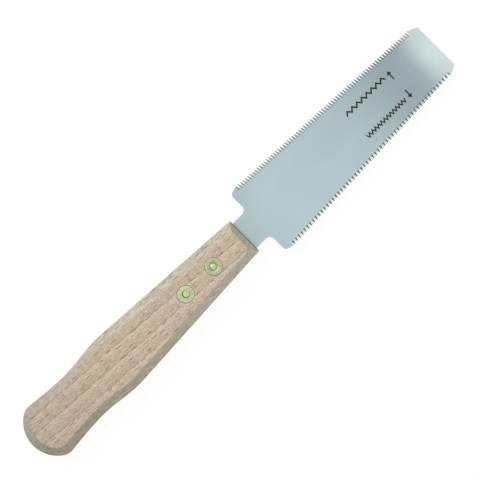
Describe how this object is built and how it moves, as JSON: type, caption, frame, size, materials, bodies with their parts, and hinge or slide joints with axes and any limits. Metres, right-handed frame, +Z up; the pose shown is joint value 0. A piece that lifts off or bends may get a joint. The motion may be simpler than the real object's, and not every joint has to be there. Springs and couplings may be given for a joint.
{
  "type": "flush cut saw",
  "caption": "Double-edged flush cut pull saw: a thin tapered steel blade with a coarse and a fine toothed edge, riveted into the slot of a waisted beech handle.",
  "frame": {"origin": "under the middle of the saw's length and width, on the plane that the handle's underside rests on", "axes": "+X along the saw to the tip of the blade, +Y to the coarse-toothed edge, +Z up, square to the blade"},
  "size_m": [0.2718, 0.0396, 0.018],
  "materials": {
    "beech": "plain sanded beech, unvarnished",
    "blade_steel": "satin cold-rolled sheet",
    "rivet_brass": "pale brass, turned flat with the wood"
  },
  "bodies": {
    "root": {"handle": "beech", "blade": "blade_steel", "front_rivet_cap": "rivet_brass", "front_rivet_post": "rivet_brass", "rear_rivet_cap": "rivet_brass", "rear_rivet_post": "rivet_brass"}
  },
  "joints": []
}
